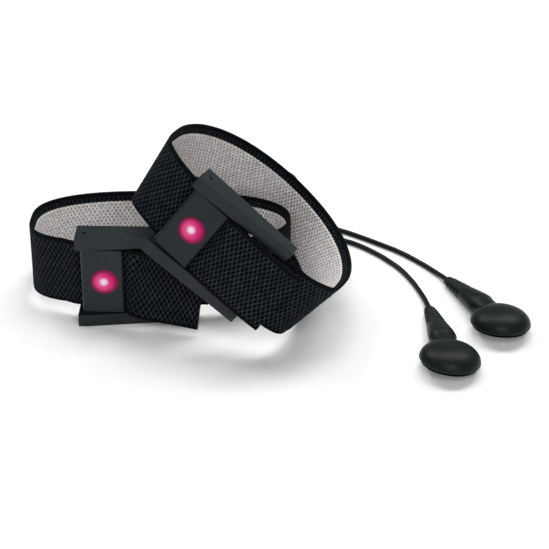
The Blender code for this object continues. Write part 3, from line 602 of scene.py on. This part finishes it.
# %% Webbing and lining of both straps
for letter, strap in STRAPS.items():
    matrix = placed(strap["place"], strap["turn_deg"])
    (loop, loop_leans), (whole, leans) = band_paths(strap, FINE_STEP)
    webbing_piece = swept(f"webbing_{letter}", whole, leans, band_section(), matrix)
    dress(webbing_piece, webbing, "straps", "webbing", f"band_{letter}")
    start = round(2 * COARSE_STEP / FINE_STEP)    # the lining starts clear of the cross bar
    lining_piece = swept(f"silver_lining_{letter}", loop[start:], loop_leans[start:],
                         lining_section(), matrix)
    dress(lining_piece, lining_finish, "straps", "lining", f"lining_{letter}")
    faces = len(webbing_piece.data.polygons), len(lining_piece.data.polygons)
    print(f"strap {letter}: {faces[0]} faces of webbing and {faces[1]} of lining")

# %% [markdown]
# ## Buckles
#
# The frames, levers, pins and snap rings have their right shape in the solid model, with small
# rounds on their edges. A copy of each, with its loose triangles merged, can be shaded smoothly so
# that those rounds catch the light, and Weighted Normal keeps the flat faces flat. The thread, the
# bead and the coil's tie are left as they are and only get their finish.

# %% Smoothly shaded copies
def only(obj):
    """Select one object alone and make it active."""
    bpy.ops.object.select_all(action="DESELECT")
    obj.select_set(True)
    bpy.context.view_layer.objects.active = obj


def apply_modifier(obj, name, kind, **settings):
    """Add a modifier, set it up and make it part of the mesh."""
    modifier = obj.modifiers.new(name, kind)
    for key, value in settings.items():
        setattr(modifier, key, value)
    only(obj)
    bpy.ops.object.modifier_apply(modifier=name)


def smooth_copy(node, name, angle_deg=38.0):
    """A merged and smoothly shaded copy of a node of the solid model."""
    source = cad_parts[node]
    copy = bpy.data.objects.new(name, source.data.copy())
    bpy.context.scene.collection.objects.link(copy)
    only(copy)
    bpy.ops.object.mode_set(mode="EDIT")
    bpy.ops.mesh.select_all(action="SELECT")
    bpy.ops.mesh.remove_doubles(threshold=1e-6)
    bpy.ops.mesh.customdata_custom_splitnormals_clear()
    bpy.ops.object.mode_set(mode="OBJECT")
    bpy.ops.object.shade_smooth_by_angle(angle=math.radians(angle_deg))
    apply_modifier(copy, "flat_faces", "WEIGHTED_NORMAL", keep_sharp=True)
    return copy


for letter in STRAPS:
    for node, finish, body, slot in (("buckle_frame", plastic, "straps", "buckle_plastic"),
                                     ("cam_lever", plastic, f"lever_{letter}", "buckle_plastic"),
                                     ("pivot_pin", steel, "straps", "snap_steel"),
                                     ("stud", steel, "straps", "snap_steel"),
                                     ("rivet", steel, "straps", "snap_steel"),
                                     ("wrist_socket", steel, "straps", "snap_steel"),
                                     ("snap_socket", steel, "straps", "snap_steel")):
        piece = smooth_copy(f"{node}_{letter}", f"{node}_{letter}_smooth")
        dress(piece, finish, body, slot, f"{node}_{letter}")
    for node, finish in (("bar_tack", thread_finish), ("resistor", bead), ("coil_tie", sheath)):
        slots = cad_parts[f"{node}_{letter}"].data.materials
        slots.clear()
        slots.append(finish.material)
    print(f"strap {letter}: buckle and snap parts shaded")

# %% [markdown]
# ## Badges
#
# Each lever carries a small printed badge. It starts as a circle, is filled and inset into rings,
# and its middle is lifted a fifth of a millimetre, so that it has a domed, resin-like face.

# %% Domed badges
BADGE_RADIUS = 0.0047
BADGE_RISE = 0.00016             # of the dome over its rim
BADGE_RINGS = 5
BADGE_SHIFT = 0.0008             # from the middle of the lever's face towards its lip
BADGE_GAP = 0.00002              # under the badge


def make_badge(name, matrix):
    """A domed disc with a UV map in badge radii, moved to its lever."""
    bpy.ops.object.select_all(action="DESELECT")
    bpy.ops.mesh.primitive_circle_add(vertices=64, radius=BADGE_RADIUS, fill_type="NGON")
    badge = bpy.context.object
    badge.name = badge.data.name = name
    bpy.ops.object.mode_set(mode="EDIT")
    bpy.ops.mesh.select_all(action="SELECT")
    bpy.ops.mesh.extrude_region_move(TRANSFORM_OT_translate={"value": (0, 0, BADGE_RISE * 0.4)})
    for ring in range(BADGE_RINGS):
        bpy.ops.mesh.inset(thickness=BADGE_RADIUS * 0.17, depth=BADGE_RISE * (0.30 - ring * 0.05))
    bpy.ops.mesh.poke()
    bpy.ops.object.mode_set(mode="OBJECT")
    bpy.ops.object.shade_smooth_by_angle(angle=math.radians(40))
    uv_layer = badge.data.uv_layers.new(name="badge")
    for loop in badge.data.loops:
        x, y, z = badge.data.vertices[loop.vertex_index].co
        uv_layer.data[loop.index].uv = (x / BADGE_RADIUS, y / BADGE_RADIUS)
    badge.data.transform(matrix)
    return badge


for letter, strap in STRAPS.items():
    upright = Matrix.Rotation(math.pi / 2, 4, "X")
    middle = Matrix.Translation((LIP_X - LEVER_LENGTH / 2 + BADGE_SHIFT, -LEVER_OUT - BADGE_GAP, 0.0))
    badge = make_badge(f"badge_{letter}", placed(strap["place"], strap["turn_deg"]) @ middle @ upright)
    dress(badge, badge_finish, f"lever_{letter}", "buckle_plastic")
    print(f"badge {letter}: {len(badge.data.polygons)} faces")

# %% [markdown]
# ## Snap heads and wrist caps
#
# Both are one moulding: a dome over the snap ring and a strain relief that tapers to the lead.
# Each is stacked up as rings, extruded and scaled from a circle. The two shells are then joined
# by a voxel remesh and smoothed a little, which leaves the soft fillet of a real moulding.

# %% Stack rings into a turned shell
def stack(name, sides, profile):
    """A closed turned shell from (radius, height) rings, from the bottom up."""
    (radius, height), rest = profile[0], profile[1:]
    bpy.ops.object.select_all(action="DESELECT")
    bpy.ops.mesh.primitive_circle_add(vertices=sides, radius=radius, fill_type="NGON",
                                      location=(0, 0, height))
    shell = bpy.context.object
    shell.name = shell.data.name = name
    bpy.ops.object.transform_apply(location=True)
    bpy.ops.object.mode_set(mode="EDIT")
    bpy.ops.mesh.select_all(action="SELECT")
    for next_radius, next_height in rest:
        share = next_radius / radius
        bpy.ops.mesh.extrude_region_move(TRANSFORM_OT_translate={"value": (0, 0, next_height - height)})
        bpy.ops.transform.resize(value=(share, share, 1.0), center_override=(0, 0, next_height))
        radius, height = next_radius, next_height
    bpy.ops.mesh.select_all(action="SELECT")
    bpy.ops.mesh.normals_make_consistent(inside=False)
    bpy.ops.object.mode_set(mode="OBJECT")
    return shell


RIBS = 4
COLLAR_RADIUS, COLLAR_LENGTH = 0.0021, 0.0022


def dome_profile(radius, height, cavity_radius, recess):
    """A flattened dome, as rings from its cavity's roof round the rim to its crown."""
    rings = [(0.0002, recess), (cavity_radius, recess), (cavity_radius, 0.0), (radius * 0.93, 0.0)]
    low, high = height * 0.18, height * 0.82    # below and above its widest line
    for degrees in range(-50, 90, 7):
        turn = math.radians(degrees)
        rings.append((radius * math.cos(turn) ** (0.75 if degrees > 0 else 1.0),
                      low + (high if degrees > 0 else low) * math.sin(turn)))
    return [ring for ring in rings if ring[1] >= 0.0] + [(0.0003, height)]


def boot_profile(inner_x, root_x, end_x, root_radius):
    """The strain relief, from inside the dome out to the lead: round shoulder, cone, ribs, collar."""
    ribs_start = (root_x + end_x) / 2
    cone = ribs_start - root_x
    collar_start = end_x - COLLAR_LENGTH
    rib = (collar_start - ribs_start) / RIBS
    grow = (root_radius * 0.70 - COLLAR_RADIUS) / RIBS
    rings = [(root_radius * 0.84, inner_x), (root_radius * 0.92, root_x + cone * 0.03),
             (root_radius * 1.02, root_x + cone * 0.18), (root_radius, root_x + cone * 0.36),
             (root_radius * 0.88, ribs_start - cone * 0.30), (root_radius * 0.76, ribs_start - 0.0002)]
    for number in reversed(range(RIBS)):
        radius = COLLAR_RADIUS + 0.0002 + grow * (number + 0.5)
        start = collar_start - rib * (number + 1)
        rings += [(radius - 0.0004, start + rib * 0.12), (radius + grow * 0.4, start + rib * 0.30),
                  (radius + grow * 0.2, start + rib * 0.85)]
    return [*rings, (COLLAR_RADIUS, collar_start), (COLLAR_RADIUS, end_x - 0.0005),
            (COLLAR_RADIUS - 0.0004, end_x)]


# %% Join, soften and place
def moulded_end(name, dome, boot, boot_height, flatten, voxel, matrix):
    """One moulding from a dome and a boot, softened where they meet."""
    body = stack(name, 64, dome)
    sleeve = stack("sleeve", 48, boot)
    raised, flat = Matrix.Translation((0, 0, boot_height)), Matrix.Diagonal((1.0, 1.0, flatten, 1.0))
    sleeve.data.transform(raised @ flat @ Matrix.Rotation(math.pi / 2, 4, "Y"))
    only(sleeve)
    body.select_set(True)
    bpy.context.view_layer.objects.active = body
    bpy.ops.object.join()
    apply_modifier(body, "one_shell", "REMESH", mode="VOXEL", voxel_size=voxel, use_smooth_shade=True)
    apply_modifier(body, "soft_edges", "SMOOTH", factor=0.5, iterations=5)
    body.data.transform(matrix)
    print(f"{name}: {len(body.data.polygons)} faces")
    return body


SOCKET_R, SEAT_GAP = 0.0047, 0.0003
SLEEVE_START = 0.0062             # from the dome's axis, well inside it
HEADS = {"a": ((0.0580, -0.0549, 0.0026), (7.0, 6.0, 97.5)),     # place, and turn in degrees
         "b": ((0.0770, -0.0321, 0.0026), (7.0, 6.0, 116.7))}
HEAD_RADIUS, HEAD_HEIGHT, HEAD_RECESS = 0.0104, 0.0068, 0.0013
HEAD_BOOT_END, HEAD_BOOT_HEIGHT, HEAD_BOOT_RADIUS = 0.0351, 0.0030, 0.0047
for letter, (place, turn_deg) in HEADS.items():
    head = moulded_end(f"head_{letter}",
                       dome_profile(HEAD_RADIUS, HEAD_HEIGHT, SOCKET_R + SEAT_GAP, HEAD_RECESS),
                       boot_profile(SLEEVE_START, HEAD_RADIUS, HEAD_BOOT_END, HEAD_BOOT_RADIUS),
                       HEAD_BOOT_HEIGHT, flatten=0.75, voxel=0.00020, matrix=placed(place, turn_deg))
    dress(head, soft_moulding, "straps", "moulding", f"snap_head_{letter}")

# %% [markdown]
# ## Wrist caps
#
# The cap that snaps on the stud behind each band is a smaller moulding of the same kind. It sits
# square to the band, so its frame comes from the band's own directions where the stud is.

# %% Wrist caps
CAP_RADIUS, CAP_HEIGHT, CAP_RECESS = 0.0080, 0.0078, 0.0061
CAP_BOOT_END, CAP_BOOT_HEIGHT, CAP_BOOT_RADIUS = 0.0210, 0.0038, 0.0036


def cap_matrix(strap):
    """Where a wrist cap sits: z out of the band, x along its boot."""
    ring = strap["ring"]
    line = smooth_points(ring_path(ring), COARSE_STEP)
    target = ring_point(ring, math.radians(strap["stud_angle_deg"]))
    index = min(range(len(line)), key=lambda number: (line[number] - target).length)
    across, outward = across_and_outward(line, index, ring_lean(ring, line[index]))
    turn = Matrix((across.cross(outward), across, outward)).transposed().to_4x4()
    on_band = placed(strap["place"], strap["turn_deg"]) @ Matrix.Translation(line[index]) @ turn
    spin = Matrix.Rotation(math.radians(strap["cap_turn_deg"]), 4, "Z")
    return on_band @ Matrix.Translation((0, 0, SEAT_GAP)) @ spin


for letter, strap in STRAPS.items():
    cap = moulded_end(f"cap_{letter}",
                      dome_profile(CAP_RADIUS, CAP_HEIGHT, SOCKET_R + SEAT_GAP, CAP_RECESS),
                      boot_profile(SLEEVE_START, CAP_RADIUS, CAP_BOOT_END, CAP_BOOT_RADIUS),
                      CAP_BOOT_HEIGHT, flatten=0.9, voxel=0.00018, matrix=cap_matrix(strap))
    dress(cap, soft_moulding, "straps", "moulding", f"wrist_cap_{letter}")

# %% [markdown]
# ## Leads
#
# Each lead is one limp cord, 1.8 mm thick: out of its wrist cap, once into a neat tied coil
# behind the straps, and on across the floor to its snap head. It is a curve with a round bevel
# along the route that the solid model takes, with more points for smoother turns. Both of its
# ends run a little way into their boots, as they do on the real one.

# %% Routes of the leads
CORD_DIAMETER = 0.0018
CORD_STEP = CORD_DIAMETER * 0.7
JOINT_GAP = 0.0003                    # between the solid model's stretches of a lead
COVERED = 0.0006                      # how far a lead's end is inside its boot
OUT_OF_CAP, OUT_OF_HEAD = 0.0035, 0.0026    # how far it goes straight on outside
COIL_TURNS, COIL_LAYERS, COIL_PITCH = 9.5, 4, 0.00228
COIL_MEAN_DIAMETER = 0.0216
COIL_LOW = CORD_DIAMETER / 2 + 0.0011    # of the lowest layer's middle line, above the floor
POINTS_PER_TURN = 48
LEADS = {
    "a": {
        "coil_centre": (-0.0350, 0.0500),
        "start": [(-0.0560, 0.0310, 0.0112), (-0.0580, 0.0350, 0.0104), (-0.0565, 0.0395, 0.0100),
                  (-0.0519, 0.0418, 0.0096)],
        "end": [(-0.0211, 0.0438, 0.0014), (-0.0180, 0.0405, 0.0010), (-0.0120, 0.0386, 0.00095),
                (-0.0040, 0.0374, 0.00095), (0.0080, 0.0358, 0.00095), (0.0180, 0.0328, 0.00095),
                (0.0285, 0.0276, 0.00095), (0.0370, 0.0199, 0.00095), (0.0411, 0.0148, 0.00095),
                (0.0451, 0.0089, 0.00095), (0.0489, 0.0005, 0.00095), (0.0507, -0.0049, 0.0010),
                (0.0524, -0.0115, 0.0013)],
    },
    "b": {
        "coil_centre": (-0.0040, 0.0580),
        "start": [(-0.0160, 0.0290, 0.0165), (-0.0192, 0.0330, 0.0150), (-0.0200, 0.0390, 0.0128),
                  (-0.0190, 0.0450, 0.0111), (-0.0178, 0.0505, 0.0100)],
        "end": [(0.0097, 0.0512, 0.0014), (0.0114, 0.0468, 0.0010), (0.0148, 0.0428, 0.00095),
                (0.0200, 0.0396, 0.00095), (0.0287, 0.0341, 0.00095), (0.0373, 0.0277, 0.00095),
                (0.0458, 0.0207, 0.00095), (0.0539, 0.0116, 0.0010), (0.0577, 0.0062, 0.0012)],
    },
}


def coil_points(centre):
    """The wound lead: from its outer top, clockwise, in and out, to its outer bottom."""
    spread = COIL_PITCH * COIL_TURNS / COIL_LAYERS
    outer, inner = (COIL_MEAN_DIAMETER + spread) / 2, (COIL_MEAN_DIAMETER - spread) / 2
    climb = COIL_LAYERS * 0.5 / COIL_TURNS
    count = round(COIL_TURNS * POINTS_PER_TURN)
    points = []
    for number in range(count + 1):
        turn = math.pi - 2 * math.pi * COIL_TURNS * number / count
        layer = COIL_LAYERS * number / count
        step = layer % 2.0
        radius = inner + (outer - inner) * (1.0 - step if step <= 1.0 else step - 1.0)
        height = COIL_LOW
        for reversal in range(1, COIL_LAYERS):
            rise = min(max((reversal + climb / 2 - layer) / climb, 0.0), 1.0)
            height += COIL_PITCH * rise * rise * (3 - 2 * rise)
        x, y = centre[0] + radius * math.cos(turn), centre[1] + radius * math.sin(turn)
        points.append(Vector((x, y, height)))
    lead = Vector((0, CORD_DIAMETER, 0))
    return [points[0] - lead, *points, points[-1] - lead]


# %% One curve for each lead
def lead_route(lead, cap_end, cap_way, boot_end, boot_way):
    """All points of a lead, in this frame."""
    coil = [point + ROOM for point in coil_points(lead["coil_centre"])]
    gap, run = Vector((0, JOINT_GAP, 0)), Vector((0, CORD_DIAMETER, 0))
    start = [cap_end - cap_way * COVERED, cap_end + cap_way * OUT_OF_CAP,
             *[Vector(point) + ROOM for point in lead["start"]], coil[0] - gap - run, coil[0] - gap]
    end = [coil[-1] - gap, coil[-1] - gap - run, *[Vector(point) + ROOM for point in lead["end"]],
           boot_end + boot_way * OUT_OF_HEAD, boot_end - boot_way * COVERED]
    return [*smooth_points(start, CORD_STEP), *coil[1:-1], *smooth_points(end, CORD_STEP)]


def cord_curve(name, points, diameter):
    """A round cord along points."""
    curve = bpy.data.curves.new(name, "CURVE")
    curve.dimensions = "3D"
    curve.bevel_depth = diameter / 2
    curve.bevel_resolution = 4
    curve.use_fill_caps = True
    spline = curve.splines.new("POLY")
    spline.points.add(len(points) - 1)
    for point, position in zip(spline.points, points):
        point.co = (*position, 1.0)
    spline.use_smooth = True
    obj = bpy.data.objects.new(name, curve)
    bpy.context.scene.collection.objects.link(obj)
    return obj


for letter, lead in LEADS.items():
    ends = []
    for matrix, end, height in ((cap_matrix(STRAPS[letter]), CAP_BOOT_END, CAP_BOOT_HEIGHT),
                                (placed(*HEADS[letter]), HEAD_BOOT_END, HEAD_BOOT_HEIGHT)):
        ends += [matrix @ Vector((end, 0, height)), matrix.to_3x3() @ Vector((1, 0, 0))]
    route = lead_route(lead, *ends)
    length = sum((b - a).length for a, b in zip(route, route[1:]))
    cord = cord_curve(f"lead_{letter}", route, CORD_DIAMETER)
    dress(cord, sheath, "straps", "lead_sheath",
          f"lead_{letter}_start", f"lead_{letter}_coil", f"lead_{letter}_end")
    print(f"lead {letter}: {length:.3f} m, {len(route)} points")

# %% [markdown]
# ## Floor, backdrop and light
#
# A plain white floor and a soft, even light show the black pieces by their highlights. The floor
# keeps its shadows round the straps, and farther off it passes into the white of the backdrop.

# %% Floor and background
FLOOR_GAP = 0.00005                  # under the straps
GLOW = 0.05                          # of the floor near them
FADE_START, FADE_END = 0.20, 0.45    # m from them, where the floor passes into white

bpy.ops.object.select_all(action="DESELECT")
bpy.ops.mesh.primitive_plane_add(size=6.0, location=(0, 0, -FLOOR_GAP))
floor = bpy.context.object
floor.name = "floor"
paper = Finish("white_paper", Base_Color=rgb(0.90, 0.90, 0.90), Roughness=0.9, Specular_IOR_Level=0.1)
lit = Value(paper, paper.shader.outputs[0])
camera_ray = paper.node("ShaderNodeLightPath", output="Is Camera Ray")
glossy_ray = paper.node("ShaderNodeLightPath", output="Is Glossy Ray")
transmission_ray = paper.node("ShaderNodeLightPath", output="Is Transmission Ray")
seen = camera_ray.at_least(glossy_ray.at_least(transmission_ray))
glow = paper.node("ShaderNodeEmission", inputs={"Strength": GLOW})
near = paper.node("ShaderNodeAddShader", inputs=[lit, glow])
far = paper.node("ShaderNodeEmission")
distance = paper.node("ShaderNodeVectorMath", {"operation": "LENGTH"}, [paper.place()], "Value")
fade = paper.node("ShaderNodeMapRange",
                  inputs={"Value": distance, "From Min": FADE_START, "From Max": FADE_END})
shown = paper.node("ShaderNodeMixShader", inputs=[fade, near, far])
surface = paper.node("ShaderNodeMixShader", inputs=[seen, lit, shown])
paper.feed(paper.tree.nodes["Material Output"].inputs["Surface"], surface)
floor.data.materials.append(paper.material)
print("floor finish:", paper.material.name)

# %% World
AMBIENT = 0.16

world = bpy.data.worlds.new("studio")
bpy.context.scene.world = world
world.use_nodes = True
sky_nodes, sky_links = world.node_tree.nodes, world.node_tree.links
ambient = sky_nodes["Background"]
ambient.inputs["Color"].default_value = rgb(1.0, 1.0, 1.0)
ambient.inputs["Strength"].default_value = AMBIENT
white = sky_nodes.new("ShaderNodeBackground")
white.inputs["Color"].default_value = rgb(1.0, 1.0, 1.0)
white.inputs["Strength"].default_value = 1.0
sky_rays = sky_nodes.new("ShaderNodeLightPath")
sky_mix = sky_nodes.new("ShaderNodeMixShader")
sky_links.new(sky_rays.outputs["Is Camera Ray"], sky_mix.inputs[0])
sky_links.new(ambient.outputs[0], sky_mix.inputs[1])
sky_links.new(white.outputs[0], sky_mix.inputs[2])
sky_links.new(sky_mix.outputs[0], sky_nodes["World Output"].inputs["Surface"])
print("ambient light:", AMBIENT)

# %% Lamps
def soft_lamp(name, azimuth_deg, elevation_deg, distance, size, power):
    """A square lamp that faces the straps. Azimuth 0 is in front of them, 90 to their right."""
    azimuth, elevation = math.radians(azimuth_deg), math.radians(elevation_deg)
    way = Vector((math.sin(azimuth) * math.cos(elevation), -math.cos(azimuth) * math.cos(elevation),
                  math.sin(elevation)))
    data = bpy.data.lights.new(name, "AREA")
    data.size = size
    data.energy = power
    lamp = bpy.data.objects.new(name, data)
    lamp.location = aim + way * distance
    lamp.rotation_euler = way.to_track_quat("Z", "Y").to_euler()
    bpy.context.scene.collection.objects.link(lamp)


soft_lamp("front", azimuth_deg=8.0, elevation_deg=40.0, distance=0.9, size=0.5, power=3.8)
soft_lamp("behind", azimuth_deg=176.0, elevation_deg=72.0, distance=0.8, size=0.34, power=2.2)
soft_lamp("back_left", azimuth_deg=-132.0, elevation_deg=50.0, distance=0.8, size=0.34, power=2.5)
soft_lamp("back_right", azimuth_deg=132.0, elevation_deg=50.0, distance=0.8, size=0.34, power=2.4)
print("lamps:", [lamp.name for lamp in bpy.data.lights])
